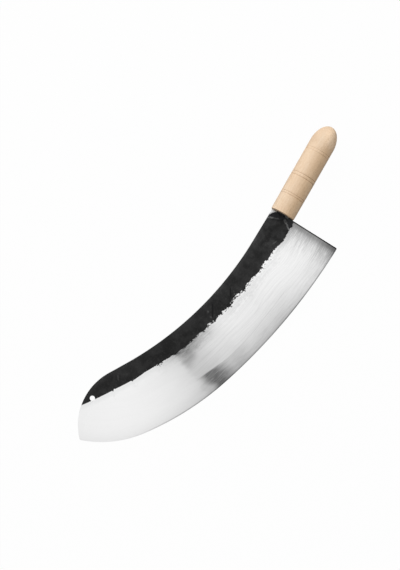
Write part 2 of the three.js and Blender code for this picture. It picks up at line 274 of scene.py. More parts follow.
class Line:
    """A line of straight and round stretches, each in line with the one before it. It starts
    towards -X, pitched up towards +Y."""

    def __init__(self, start, pitch):
        self.points = np.array([start], float)
        self.heading = math.pi - math.radians(pitch)

    def centre(self, radius):
        """The centre of an arc that starts here. A negative radius turns right."""
        return self.points[-1] + radius * unit(self.heading + math.pi / 2)

    def forward(self, length):
        shares = np.linspace(0, 1, math.ceil(length / LINE_STEP) + 1)[1:]
        ahead = shares[:, None] * length * unit(self.heading)
        self.points = np.vstack([self.points, self.points[-1] + ahead])

    def bend(self, radius, sweep):
        centre = self.centre(radius)
        turn = math.copysign(sweep, radius)
        count = math.ceil(abs(radius) * sweep / LINE_STEP)
        turned = angle_of(self.points[-1] - centre) + np.linspace(0, turn, count + 1)[1:]
        self.points = np.vstack([self.points, centre + abs(radius) * unit(turned)])
        self.heading += turn

    def sweep_to(self, radius, target):
        """The sweep of an arc that starts here and ends in line with its centre and a target."""
        centre = self.centre(radius)
        turn = angle_of(target - centre) - angle_of(self.points[-1] - centre)
        return (math.copysign(1, radius) * turn) % (2 * math.pi)

    def runs(self):
        steps = np.linalg.norm(np.diff(self.points, axis=0), axis=1)
        return np.concatenate([[0], np.cumsum(steps)])

    def spread(self, count):
        """As many points as asked for, evenly spaced from end to end."""
        runs = self.runs()
        wanted = np.linspace(0, runs[-1], count)
        return np.column_stack([np.interp(wanted, runs, axis) for axis in self.points.T])

    def measure(self, places, inside):
        """For each place: how far along the line it lies, how far inside it, the nearest point
        and the way in, where inside is 1 if that is to the left of the line and -1 if not."""
        tree = kdtree.KDTree(len(self.points))
        for index, (x, y) in enumerate(self.points):
            tree.insert((x, y, 0), index)
        tree.balance()
        nearest = np.array([tree.find((x, y, 0))[1] for x, y in places])
        forward = np.gradient(self.points, axis=0)
        forward /= np.linalg.norm(forward, axis=1)[:, None]
        inward = inside * np.column_stack([-forward[:, 1], forward[:, 0]])[nearest]
        points = self.points[nearest]
        offset = places - points
        run = self.runs()[nearest] + (offset * forward[nearest]).sum(axis=1)
        return run, (offset * inward).sum(axis=1), points, inward


LEFT = 1
RIGHT = -1


def crossing_on_left(centre_a, radius_a, centre_b, radius_b):
    """Where two circles cross, on the left when looking from the first centre to the second."""
    across = centre_b - centre_a
    distance = np.linalg.norm(across)
    along = (distance ** 2 + radius_a ** 2 - radius_b ** 2) / (2 * distance)
    aside = math.sqrt(radius_a ** 2 - along ** 2)
    ahead = across / distance
    return centre_a + along * ahead + aside * np.array([-ahead[1], ahead[0]])


def draw_blade():
    """The back from the shoulder to the tip, the edge from the heel to the tip, the centre of
    the grind line's arc and the centre of the hang hole."""
    back = Line(SHOULDER_TOP, SPINE_PITCH)
    back.forward(SPINE_STRAIGHT)
    back.bend(-SPINE_RADIUS, math.radians(SPINE_SWEEP))
    back.forward(BACK_STRAIGHT)
    edge = Line(HEEL_CORNER, EDGE_PITCH)
    edge.bend(-BELLY_RADIUS, math.radians(BELLY_SWEEP))
    edge.bend(-FORE_RADIUS, math.radians(FORE_SWEEP))
    nose_centre = back.centre(NOSE_RADIUS)
    tip_centre = edge.centre(-TIP_RADIUS)
    round_centre = crossing_on_left(
        nose_centre, NOSE_RADIUS - TIP_ROUND, tip_centre, TIP_RADIUS - TIP_ROUND)
    back.bend(NOSE_RADIUS, back.sweep_to(NOSE_RADIUS, round_centre))
    edge.bend(-TIP_RADIUS, edge.sweep_to(-TIP_RADIUS, round_centre))
    corner = back.sweep_to(TIP_ROUND, edge.points[-1])
    back.bend(TIP_ROUND, corner / 2)
    edge.bend(-TIP_ROUND, corner / 2)
    grind_centre = Line((0, -GRIND_DROP), GRIND_PITCH).centre(-GRIND_RADIUS)
    hole_centre = nose_centre + (NOSE_RADIUS - HOLE_INSET) * unit(math.radians(HOLE_SPOKE))
    return back, edge, grind_centre, hole_centre


back_line, edge_line, grind_centre, hole_centre = draw_blade()
blade_end = min(line.points[:, 0].min() for line in (back_line, edge_line))


# Blade

def to_grind_line(places, ways):
    """How far off the grind line is, from each place along its way, and without end if it misses."""
    to_centre = grind_centre - places
    along = (to_centre * ways).sum(axis=1)
    inside = along ** 2 - (to_centre ** 2).sum(axis=1) + GRIND_RADIUS ** 2
    return np.where(inside > 0, along - np.sqrt(np.maximum(inside, 0)), np.inf)


def heel_x(y):
    """Where the heel's end lies, which is bent at the foot of the shoulder."""
    corners = np.array([HEEL_CORNER, SHOULDER_FOOT, SHOULDER_TOP])
    return np.interp(y, corners[:, 1], corners[:, 0])


def round_heel_corner(places):
    """Draws the corner between heel and edge in to a small round."""
    from_heel = HEEL_CORNER[0] - places[..., 0]
    from_edge = places[..., 1] - HEEL_CORNER[1]
    inner = np.minimum(from_heel, from_edge)
    turn = np.clip(0.5 + 0.5 * (from_heel - from_edge) / HEEL_ROUND, 0, 1)
    weight = np.clip(1 - inner / HEEL_ROUND, 0, 1)
    weight = weight * (np.maximum(from_heel, from_edge) < HEEL_ROUND)
    to_left = turn ** 2 * HEEL_ROUND - (from_heel - inner)
    to_up = (1 - turn) ** 2 * HEEL_ROUND - (from_edge - inner)
    return places + np.stack([-to_left * weight, to_up * weight], axis=-1)


def blade_columns():
    """Places in columns from the edge to the back, with rows close together along the edge,
    the border of the grinding and the spine."""
    foot = edge_line.spread(COLUMNS + 2)[:-1]
    top = back_line.spread(COLUMNS + 2)[:-1]
    span = np.linalg.norm(top - foot, axis=1)
    border = np.clip(to_grind_line(foot, (top - foot) / span[:, None]), 0, span)
    low = np.minimum(EDGE_ZONE, ZONE_SHARE * span)
    high = span - np.minimum(EASE_ZONE, ZONE_SHARE * span)
    least = LEAST_SHARE * (high - low)
    below = np.clip(border - BORDER_ZONE, low + 2 * least, high - 4 * least)
    above = np.clip(border + BORDER_ZONE, below + least, high - least)
    marks = [0 * span, low, below, above, high, span]
    counts = [EDGE_ROWS, GROUND_ROWS, BORDER_ROWS, SCALE_ROWS, EASE_ROWS]
    rows = [marks[0][:, None]]
    for start, end, count in zip(marks, marks[1:], counts):
        shares = np.linspace(0, 1, count + 1)[1:]
        rows.append(start[:, None] + (end - start)[:, None] * shares)
    shares = np.hstack(rows) / span[:, None]
    places = foot[:, None] + shares[..., None] * (top - foot)[:, None]
    chord_x = np.interp(places[..., 1], *zip(HEEL_CORNER[::-1], SHOULDER_TOP[::-1]))
    near_heel = np.linspace(1, 0, len(foot))[:, None] ** HEEL_BLEND
    places[..., 0] += near_heel * (heel_x(places[..., 1]) - chord_x)
    return round_heel_corner(places)


def blade_sheet():
    """The blade's outline as a flat mesh: places, quads, the outer rim and the hole's rim. Both
    rims have the steel on their left."""
    columns = blade_columns()
    index = np.arange(columns[..., 0].size).reshape(columns.shape[:2])
    from_hole = np.linalg.norm(columns - hole_centre, axis=-1) - HOLE_RADIUS
    near_hole = np.argwhere(from_hole < HOLE_MARGIN)
    first, lowest = near_hole.min(axis=0) - 1
    last, highest = near_hole.max(axis=0) + 1
    quads = np.stack([index[:-1, :-1], index[:-1, 1:], index[1:, 1:], index[1:, :-1]], axis=-1)
    kept = np.ones(quads.shape[:2], bool)
    kept[first:last, lowest:highest] = False
    outer = around(index[first:last + 1, lowest:highest + 1])
    places = columns.reshape(-1, 2)
    from_places = places[outer]
    spokes = hole_centre - from_places
    reach = np.linalg.norm(spokes, axis=1)[:, None]
    rows = [outer]
    for share in np.linspace(0, 1, HOLE_RINGS + 1)[1:]:
        ring = from_places + spokes / reach * (reach - HOLE_RADIUS) * math.sqrt(share)
        rows.append(len(places) + np.arange(len(outer)))
        places = np.vstack([places, ring])
    faces = quads[kept].tolist() + bands(rows)
    return drop_unused(places, faces, [around(index), rows[-1][::-1]])


def drop_unused(places, faces, rims):
    """The same mesh without the places that no face uses."""
    used = np.unique(faces)
    return places[used], np.searchsorted(used, faces), [np.searchsorted(used, rim) for rim in rims]


def stock_half(x):
    """Half the thickness of the unground blade."""
    share = np.clip((SHOULDER_TOP[0] - x) / (SHOULDER_TOP[0] - blade_end), 0, 1)
    return (SHOULDER_THICKNESS + (NOSE_THICKNESS - SHOULDER_THICKNESS) * share) / 2


def half_thickness(places, depth, edge_points, inward):
    """Half the thickness of the ground blade, before it has any relief."""
    grind_depth = to_grind_line(edge_points, inward)
    grind_half = stock_half(edge_points[:, 0] + grind_depth * inward[:, 0])
    bevel = np.clip(depth / EDGE_BEVEL_WIDTH, 0, 1)
    bevel_half = (EDGE_THICKNESS + (EDGE_BEVEL_THICKNESS - EDGE_THICKNESS) * bevel) / 2
    rise = (depth - EDGE_BEVEL_WIDTH) / (grind_depth - EDGE_BEVEL_WIDTH)
    wedge = bevel_half + (grind_half - EDGE_BEVEL_THICKNESS / 2) * np.maximum(rise, 0)
    return np.minimum(wedge, stock_half(places[:, 0]))


def scale_border(places, run):
    """How far each place lies inside the forge scale, before its border is torn."""
    above = GRIND_RADIUS - np.linalg.norm(places - grind_centre, axis=1)
    return above - np.interp(run, *zip(*WAVER))


def face_relief(places, run, depth, border, seed):
    """How far a face stands out from its plain form: dented scale, and flatter grinding."""
    dents = HAMMER_DEPTH * noise_at(places / HAMMER_SIZE, seed)
    dents += DENT_DEPTH * noise_at(places / DENT_SIZE, seed)
    grinding = GRINDING_DEPTH * noise_at(np.column_stack([run, depth]) / GRINDING_SIZE, seed)
    in_scale = fade(border, -SCALE_STEP, SCALE_STEP)
    return in_scale * (SCALE_THICKNESS + dents) + (1 - in_scale) * grinding


def quarter_round(distance, radius):
    """How far a rounded corner lies below the face, at a distance from the side."""
    short = np.clip(radius - distance, 0, radius)
    return radius - np.sqrt(radius ** 2 - short ** 2)


def blade_face(places, seed):
    """Heights above the middle plane, and the facts for the material, for one face."""
    run, depth, edge_points, inward = edge_line.measure(places, RIGHT)
    from_spine = back_line.measure(places, LEFT)[1]
    from_hole = np.linalg.norm(places - hole_centre, axis=1) - HOLE_RADIUS
    from_heel = heel_x(places[:, 1]) - places[:, 0]
    border = scale_border(places, run)
    height = half_thickness(places, depth, edge_points, inward)
    height += fade(depth, 0, RELIEF_START) * face_relief(places, run, depth, border, seed)
    height -= quarter_round(from_spine, np.minimum(SPINE_EASE, SPINE_EASE_SHARE * height))
    height -= quarter_round(from_hole, HOLE_EASE)
    chamfer = HEEL_CHAMFER_DEPTH * np.clip(1 - from_heel / HEEL_CHAMFER_WIDTH, 0, 1)
    height -= np.minimum(chamfer, HEEL_CHAMFER_SHARE * height)
    facts = {
        "flow": np.column_stack([run, depth, np.full(len(run), seed)]),
        "place": np.column_stack([places, from_heel]),
        "border": border,
        "spine": from_spine,
        "rim": 0 * run,
    }
    return height, facts


def tang_mesh():
    """The hidden tang: a tapered bar that starts inside the blade's root."""
    sizes = np.array([TANG_ROOT, TANG_ROOT, TANG_END, TANG_END])
    sizes[-1] /= 2
    stations = [SHOULDER_TOP[0] - TANG_OVERLAP, 0, TANG_LENGTH - TANG_POINT, TANG_LENGTH]
    places = [np.column_stack([np.full(4, x), size * SQUARE]) for x, size in zip(stations, sizes)]
    rows = np.arange(16).reshape(4, 4)
    return np.vstack(places), [rows[0, ::-1].tolist(), rows[-1].tolist(), *bands(rows)]


def make_blade(material):
    places, quads, rims = blade_sheet()
    count = len(places)
    faces = [*quads.tolist(), *(quads[:, ::-1] + count).tolist()]
    points = []
    facts = []
    for side, seed in zip((1, -1), FACE_SEEDS):
        height, face_facts = blade_face(places, seed)
        points.append(np.column_stack([places, side * height]))
        facts.append(face_facts)
    for rim in rims:
        between = sum(map(len, points)) + np.arange(RIM_ROWS * len(rim)).reshape(RIM_ROWS, -1)
        faces += bands([rim + count, *between[::-1], rim])
        for share in np.linspace(0, 1, RIM_ROWS + 2)[1:-1]:
            points.append((1 - share) * points[0][rim] + share * points[1][rim])
            on_rim = {name: values[rim] for name, values in facts[0].items()}
            facts.append(on_rim | {"rim": np.ones(len(rim))})
    tang_points, tang_faces = tang_mesh()
    start = sum(map(len, points))
    faces += [[start + index for index in face] for face in tang_faces]
    points.append(tang_points)
    on_tang = dict.fromkeys(("flow", "place"), tang_points)
    hidden = np.full(len(tang_points), INSIDE_SCALE)
    facts.append(on_tang | dict.fromkeys(("border", "spine", "rim"), hidden))
    joined = {name: np.concatenate([part[name] for part in facts]) for name in facts[0]}
    return make_piece("forged_blade", np.vstack(points), faces, joined, material)


# Handle

def handle_radius(x):
    """The turned outline of the handle, with its grooves, rounded rim and domed butt."""
    swell = fade(x, -HANDLE_SWELL_LENGTH, HANDLE_SWELL_LENGTH)
    radius = HANDLE_FRONT_RADIUS + (HANDLE_RADIUS - HANDLE_FRONT_RADIUS) * (2 * swell - 1)
    into_dome = np.clip((x - DOME_START) / BUTT_DOME_LENGTH, 0, 1)
    radius = radius * np.sqrt(1 - into_dome ** 2)
    marks = TOOL_MARK_DEPTH * np.sin(2 * math.pi * x / TOOL_MARK_PITCH)
    radius -= TOOL_MARK_DEPTH + marks * (1 - into_dome)
    radius -= GROOVE_DEPTH * groove_share(x)
    return np.maximum(radius - quarter_round(x, RIM_ROUND), 0)


def groove_share(x):
    """How deep in a groove a place along the handle is, from 0 to 1."""
    depth = 0 * x
    for groove, strength in GROOVES:
        depth = np.maximum(depth, strength * fade(np.abs(x - groove), GROOVE_WIDTH / 2, 0))
    return depth


def make_handle(material):
    dome_turns = np.linspace(0, math.pi / 2, DOME_STATIONS)
    rim_turns = np.linspace(0, math.pi / 2, RIM_STATIONS)
    across_groove = GROOVE_WIDTH * np.linspace(-GROOVE_MARGIN, GROOVE_MARGIN, GROOVE_STATIONS)
    stations = np.concatenate([
        np.arange(1, DOME_START),
        DOME_START + BUTT_DOME_LENGTH * np.sin(dome_turns),
        RIM_ROUND * (1 - np.cos(rim_turns)),
        *(groove + across_groove for groove, _ in GROOVES),
    ])
    stations = np.unique(stations.round(3))
    stations = stations[stations < HANDLE_LENGTH]
    radii = handle_radius(stations)
    mouth_radii = np.linspace(SOCKET_RADIUS, radii[0], MOUTH_RINGS)[:-1]
    stations = [SOCKET_DEPTH, *(0 * mouth_radii), *stations]
    radii = [SOCKET_RADIUS, *mouth_radii, *radii]
    ways = unit(np.linspace(0, 2 * math.pi, HANDLE_SIDES, endpoint=False))
    points = []
    for x, radius in zip(stations, radii):
        wobble = OUT_OF_ROUND * min(1, radius / HANDLE_RADIUS) * (radius > SOCKET_RADIUS)
        ring = radius + wobble * (noise_at(LOBE_SHARE * ways, x / LOBE_LENGTH) - 1)
        points.append(np.column_stack([np.full(HANDLE_SIDES, x), ring[:, None] * ways]))
    points.append([(SOCKET_DEPTH + SOCKET_POINT, 0, 0), (HANDLE_LENGTH, 0, 0)])
    points = np.vstack(points)
    bottom, butt = len(points) - 2, len(points) - 1
    rows = np.arange(bottom).reshape(-1, HANDLE_SIDES)
    faces = bands(rows[::-1])
    for pole, row in ((bottom, rows[0]), (butt, rows[-1][::-1])):
        faces += np.column_stack([np.full(HANDLE_SIDES, pole), row, np.roll(row, -1)]).tolist()
    outside = np.hypot(points[:, 1], points[:, 2]) > SOCKET_RADIUS + MOUTH_MARGIN
    facts = {
        "grain": points,
        "groove": groove_share(points[:, 0]) * outside,
        # Painted shade on the front face, by the mouth
        "rim": fade(points[:, 0], *MOUTH_SHADE_REACH) * outside,
    }
    return make_piece("turned_handle", points, faces, facts, material)


# Bedding

MOUTH_CUT = 1
MOUTH_VOXEL = 0.24
SMEAR_GAP = 0.3
SMEAR_SMOOTHING = 8
SMEAR_LUMPS = ((2.6, 0.14), (1.1, 0.07))
LUMPS_START = (-0.3, -1.5)
LUMP_SEED = 4.5
SEAT_REACH = 0.6
SEAT_START = (-0.6, -1.2)
PLUG_OVERLAP = 0.3
WELD = 1e-7


def cut_node(name, x, keep_front):
    """A copy of a CAD node, cut square to the handle and closed where it was cut."""
    shape = bmesh.new()
    shape.from_mesh(frame["nodes"][name].data)
    bmesh.ops.remove_doubles(shape, verts=shape.verts, dist=WELD)
    everything = [*shape.verts, *shape.edges, *shape.faces]
    cut = bmesh.ops.bisect_plane(
        shape, geom=everything, plane_co=to_row_frame((x, 0, 0)), plane_no=knife_axes[:, 0],
        clear_outer=keep_front, clear_inner=not keep_front)
    edges = [item for item in cut["geom_cut"] if isinstance(item, bmesh.types.BMEdge)]
    bmesh.ops.triangle_fill(shape, use_beauty=True, edges=edges)
    bmesh.ops.recalc_face_normals(shape, faces=shape.faces)
    mesh = bpy.data.meshes.new(name + "_cut")
    shape.to_mesh(mesh)
    shape.free()
    return mesh


def remeshed(mesh):
    """The mesh as even quads."""
    holder = add_object("holder", mesh)
    remesh = holder.modifiers.new("remesh", "REMESH")
    remesh.mode = "VOXEL"
    remesh.voxel_size = MOUTH_VOXEL * MM
    evaluated = holder.evaluated_get(bpy.context.evaluated_depsgraph_get())
    result = bpy.data.meshes.new_from_object(evaluated)
    bpy.data.objects.remove(holder)
    return result


def seat_smear(places):
    """Lets the smear down through the gap that the CAD leaves, onto the blade's faces."""
    x, _, z = places.T
    underside = stock_half(x) + SMEAR_GAP
    nearness = np.clip(1 - np.abs(np.abs(z) - underside) / SEAT_REACH, 0, 1)
    places[:, 2] -= np.sign(z) * SMEAR_GAP * nearness * fade(x, *SEAT_START)
    return places


def make_bedding(material):
    mouth = remeshed(cut_node("tang_bedding", MOUTH_CUT, True))
    shape = bmesh.new()
    shape.from_mesh(mouth)
    for _ in range(SMEAR_SMOOTHING):
        bmesh.ops.smooth_vert(
            shape, verts=shape.verts, factor=0.5, use_axis_x=True, use_axis_y=True, use_axis_z=True)
    shape.normal_update()
    normals = np.array([vertex.normal for vertex in shape.verts]) @ knife_axes
    places = to_knife([vertex.co for vertex in shape.verts])
    faces = [[vertex.index for vertex in face.verts] for face in shape.faces]
    shape.free()
    lumps = sum(height * noise_at(places[:, :2] / size, LUMP_SEED) for size, height in SMEAR_LUMPS)
    places += normals * (lumps * fade(places[:, 0], *LUMPS_START))[:, None]
    places = seat_smear(places)
    plug = cut_node("tang_bedding", MOUTH_CUT - PLUG_OVERLAP, False)
    faces += [[len(places) + index for index in face.vertices] for face in plug.polygons]
    points = np.vstack([places, to_knife([vertex.co for vertex in plug.vertices])])
    return make_piece("tang_bedding_smear", points, faces, {"spot": points}, material)


# Nodes of the materials. A step is given as its start and its end and, where it doesn't go from
# 0 to 1, the values there. Noise is given as its grain, which is how many features there are for
# each unit along each axis, its detail and its roughness.

def fill(node, inputs):
    for key, value in inputs.items():
        if isinstance(value, Value):
            node.id_data.links.new(value.socket, node.inputs[key])
        else:
            node.inputs[key].default_value = value


def put(tree, kind, inputs, output=0, **settings):
    """What a new node puts out."""
    node = tree.nodes.new("ShaderNode" + kind)
    for name, value in settings.items():
        setattr(node, name, value)
    fill(node, inputs)
    return Value(node.outputs[output])


class Value:
    """A number, vector or colour that a node puts out, with short ways to put it into others."""

    def __init__(self, socket):
        self.socket = socket

    def put(self, *node, **settings):
        return put(self.socket.id_data, *node, **settings)

    def math(self, operation, *others):
        return self.put("Math", dict(enumerate((self, *others))), operation=operation)

    def vectors(self, operation, *others, output="Vector"):
        return self.put("VectorMath", dict(enumerate((self, *others))), output, operation=operation)

    def __add__(self, other):
        return self.math("ADD", other)

    def __sub__(self, other):
        return self.math("SUBTRACT", other)

    def __rsub__(self, other):
        return self.math("MULTIPLY_ADD", -1, other)

    def __mul__(self, other):
        return self.math("MULTIPLY", other)

    def __truediv__(self, other):
        return self.math("DIVIDE", other)

    def __abs__(self):
        return self.math("ABSOLUTE")

    def highest(self, other):
        return self.math("MAXIMUM", other)

    def step(self, start, end, low=0, high=1, linear=False):
        """Low before start, high after end and smooth, or straight, between them."""
        inputs = {"Value": self, "From Min": start, "From Max": end, "To Min": low, "To Max": high}
        return self.put("MapRange", inputs, interpolation_type="LINEAR" if linear else "SMOOTHSTEP")

    def split(self):
        node = self.put("SeparateXYZ", {0: self}).socket.node
        return [Value(output) for output in node.outputs]

    def noise(self, grain, detail, roughness, output=0):
        """Noise from 0 to 1."""
        inputs = {"Vector": self.vectors("MULTIPLY", grain), "Scale": 1}
        return self.put("TexNoise", inputs | {"Detail": detail, "Roughness": roughness}, output)

    def wobbled(self, size, reach):
        """Places moved about at random, by up to the reach and over the size of a wobble."""
        moves = self.noise((1 / size, 1 / size, 0), detail=2, roughness=0.5, output="Color")
        moves = moves.vectors("SUBTRACT", (0.5, 0.5, 0.5))
        return self.vectors("ADD", moves.vectors("MULTIPLY", (2 * reach, 2 * reach, 0)))

    def curve(self, levels):
        """A smooth curve through pairs of a place and a level, the first of them at zero."""
        span = levels[-1][0]
        result = self.put("FloatCurve", {"Value": self / span})
        mapping = result.socket.node.mapping
        for _ in levels[2:]:
            mapping.curves[0].points.new(0.5, 0.5)
        for point, (place, level) in zip(mapping.curves[0].points, levels):
            point.location = (place / span, level)
        mapping.update()
        return result

    def near(self, start, end, inner, outer):
        """1 within the inner distance of a straight mark, and 0 beyond the outer one."""
        axis = (end[0] - start[0], end[1] - start[1], 0)
        offset = self.vectors("MULTIPLY", (1, 1, 0)).vectors("SUBTRACT", (*start, 0))
        share = offset.vectors("DOT_PRODUCT", axis, output="Value") / (axis[0] ** 2 + axis[1] ** 2)
        share = share.step(0, 1, linear=True)
        foot = self.put("VectorMath", {0: axis, "Scale": share}, operation="SCALE")
        return offset.vectors("DISTANCE", foot, output="Value").step(outer, inner)

    def mix(self, first, second):
        """A colour between two others, where this value is the second one's share."""
        return self.put("Mix", {0: self, 6: first, 7: second}, 2, data_type="RGBA")

    def grey(self):
        return self.put("CombineColor", {0: self, 1: self, 2: self})

    def bump(self, distance):
        return self.put("Bump", {"Height": self, "Distance": distance * MM})


def fact(tree, name, output="Fac"):
    """What the mesh says of each of its places."""
    return put(tree, "Attribute", {}, output, attribute_name=name)


def new_material(name):
    material = bpy.data.materials.new(name)
    material.use_nodes = True
    return material, material.node_tree


# Torn border of the scale: levels at runs along the edge, noises and reaches
TEAR_LEVELS = (
    (0, 0.25), (42, 0.3), (62, 1), (150, 1), (215, 0.8), (245, 0.5), (270, 0.3), (286, 0.42), (295, 0.85),
    (303, 0.8), (311, 0.2), (340, 0.15), (347, 0.6), (354, 0.15), (386, 0.15), (393, 0.7), (400, 0.15),
    (430, 0.12))
NICK_LEVELS = (
    (0, 0.4), (18, 0.8), (70, 0.9), (200, 0.7), (260, 0.4), (285, 0.12), (293, 0.2), (300, 0.8),
    (307, 0.2), (341, 0.12), (347, 0.75), (353, 0.12), (387, 0.12), (393, 0.75), (399, 0.12), (430, 0.12))
HAIR_LEVELS = (
    (0, 0), (170, 0), (210, 0.5), (240, 0.8), (257, 1), (268, 0.58), (285, 0.24), (298, 0.1), (312, 0),
    (430, 0))
TEAR_NOISE = ((0.24, 0.3, 1), 3, 0.6)
TEAR_REACH = 2.7
NICK_NOISE = ((0.8, 1.2, 1), 2, 0.6)
NICK_REACH = 2.5
HAIR_NOISE = ((0.08, 1.1, 1), 3, 0.65)
HAIR_REACH = 3.5
FLECK_NOISE = ((0.32, 0.45, 3), 3, 0.5)
FLECK_CONTRAST = 12
FLECK_START = 10.6
FLECKS_BY_TEARS = 5
FLECKS_BY_BORDER = 0.55
HEEL_LINE = 1.6
SCALE_EDGE = (-0.12, 0.12)


def hairs(flow):
    """Noise drawn out along the grinding."""
    return flow.noise(*HAIR_NOISE)


def torn_border(border, flow, run, from_heel):
    """How far inside the scale a place is, with the border torn up to where the passes end."""
    torn = run.curve(TEAR_LEVELS)
    tears = (
        (torn, flow.noise(*TEAR_NOISE), TEAR_REACH),
        (run.curve(NICK_LEVELS), flow.noise(*NICK_NOISE), NICK_REACH),
        (run.curve(HAIR_LEVELS), hairs(flow), HAIR_REACH),
    )
    for share, ragged, reach in tears:
        border += share * (ragged * (2 * reach) - reach)
    flecks = flow.noise(*FLECK_NOISE) * FLECK_CONTRAST + torn * FLECKS_BY_TEARS - FLECK_START
    border = border.highest(border * FLECKS_BY_BORDER + flecks)
    return border.highest(HEEL_LINE - from_heel)


# Painted dark reflection by the edge: levels at runs along it, reaches in tenths of a metre, and a dark
# line
EDGE_LEVELS = ((0, 0.22), (60, 0.3), (90, 0.4), (135, 0.5), (200, 0.44), (300, 0.2), (430, 0.1))
EDGE_REACHES = ((0, 0.12), (60, 0.15), (135, 0.26), (200, 0.23), (300, 0.12), (430, 0.1))
REACH_UNIT = 100
EDGE_COMBING = 0.6
EDGE_PLAIN = 0.42
EDGE_LINE_DEPTH = (2, 1)
EDGE_LINE_LEVELS = ((0, 0.36), (60, 0.5), (110, 0.58), (150, 0.42), (290, 0.4), (400, 0), (430, 0))


def paint_edge_shade(level, run, depth, combed):
    """The level, lower towards the cutting edge and along it, by painted dark reflection."""
    reach = run.curve(EDGE_REACHES) * -REACH_UNIT
    edge_shade = (depth / reach).math("EXPONENT") * (combed * EDGE_COMBING + EDGE_PLAIN)
    level *= 1 - edge_shade * run.curve(EDGE_LEVELS)
    return level * (1 - depth.step(*EDGE_LINE_DEPTH) * run.curve(EDGE_LINE_LEVELS))


# Painted dark reflection, partly grinding marks, in a patch by the edge where the grinding passes
# end: steps along the edge and up from it, and two lines by their ends and shade
PATCH_TOP = (205, 252, 21.3, 25.7)
PATCH_TOP_FALL = (190, 85, 0, 3.7)
PATCH_TOP_EDGE = (-1.2, 1.2)
PATCH_START = (205, 236)
PATCH_START_LEAN = 0.15
PATCH_FOOT = (9, 3, 0, 6)
PATCH_END = (264, 249)
PATCH_END_SLANT = (23, 3, 0, 9)
PATCH_SHADE = 0.66
MARGIN_START = (172, 195)
MARGIN_END = (262, 240)
MARGIN_SHADE = 0.12
UPPER_LINE = (75, 272, 0.13)
LOWER_LINE = (80, 150, 0.06)
LOWER_LINE_DEPTH = 37
LINE_EDGE = (0.8, 0.15)
LINE_FADE = 20


def paint_patch_shade(level, run, depth, combed):
    """Painted dark reflection: the level, lower in the patch, beside it and along two pass lines."""
    below_top = run.step(*PATCH_TOP_FALL) + run.step(*PATCH_TOP) - depth
    under = below_top.step(*PATCH_TOP_EDGE) * combed
    start = (run - depth * PATCH_START_LEAN - depth.step(*PATCH_FOOT)).step(*PATCH_START)
    end = (run + depth.step(*PATCH_END_SLANT)).step(*PATCH_END)
    level *= 1 - start * end * under * PATCH_SHADE
    level *= 1 - run.step(*MARGIN_START) * run.step(*MARGIN_END) * under * MARGIN_SHADE
    above_lower = depth - LOWER_LINE_DEPTH
    for offset, (first, last, shade) in ((below_top, UPPER_LINE), (above_lower, LOWER_LINE)):
        ends = run.step(first, first + LINE_FADE) * run.step(last, last - LINE_FADE)
        level *= 1 - abs(offset).step(*LINE_EDGE) * ends * shade
    return level


# Painted dark reflection below the scale's border: a dark spot, grey passes, a shade and combed hairs
DARK_SPOT = ((248, 57), (259, 53), 0, 13)
DARK_SPOT_SHADE = 0.38
SCRATCH_NOISE = ((0.025, 0.45, 1), 3, 0.65)
SCRATCHES = (0.3, 0.65, 0.6, 1)
PASSES_DEPTH = (50, 67)
PASSES_SHADE = 0.36
BORDER_REACH = (-8.5, -2.5)
BORDER_SHADE = 0.22
BORDER_LEVELS = (
    (0, 0.5), (30, 0.95), (60, 0.5), (90, 0.5), (120, 0.8), (150, 0.65), (180, 0.2), (210, 0), (280, 0),
    (310, 0.2), (340, 0.35), (430, 0.3))
HAIR_DEPTH = (-9, -1)
HAIR_SHADE = 0.56
HAIR_CONTRAST = (0.3, 0.7, 0.45, 1.3)


def paint_border_shade(level, flow, run, depth, border):
    """The level, lower below the border of the scale, by painted dark reflection."""
    scratches = flow.noise(*SCRATCH_NOISE).step(*SCRATCHES)
    shaded = run.curve(HAIR_LEVELS)
    level *= 1 - flow.near(*DARK_SPOT) * scratches * DARK_SPOT_SHADE
    level *= 1 - depth.step(*PASSES_DEPTH) * shaded * scratches * PASSES_SHADE
    level *= 1 - border.step(*BORDER_REACH) * run.curve(BORDER_LEVELS) * BORDER_SHADE
    close = border.step(*HAIR_DEPTH, linear=True) * shaded
    return level * (1 - close * hairs(flow).step(*HAIR_CONTRAST) * HAIR_SHADE)


# Painted dark reflection by the heel: levels at depths from the edge, and how far the hatching reaches
HEEL_LEVELS = ((0, 0.88), (10, 0.85), (22, 0.75), (75, 0.75))
HEEL_SHARES = ((0, 0.97), (6, 0.97), (12, 0.88), (20, 1), (28, 0.78), (37, 0.83), (56, 0.86), (75, 0.92))
HATCH_NOISE = ((0.08, 1.2, 1), 3, 0.7)
HATCH_REACH = (0.3, 0.7, 12, 28)
HEEL_FALL = 1.4


def paint_heel_shade(level, flow, depth, from_heel):
    """The level, lower towards the heel by painted dark reflection, in hatching of uneven length."""
    length = flow.noise(*HATCH_NOISE).step(*HATCH_REACH) * depth.curve(HEEL_SHARES)
    distance = (from_heel / length).math("POWER", HEEL_FALL)
    return level * (1 - (distance * -1).math("EXPONENT") * depth.curve(HEEL_LEVELS))


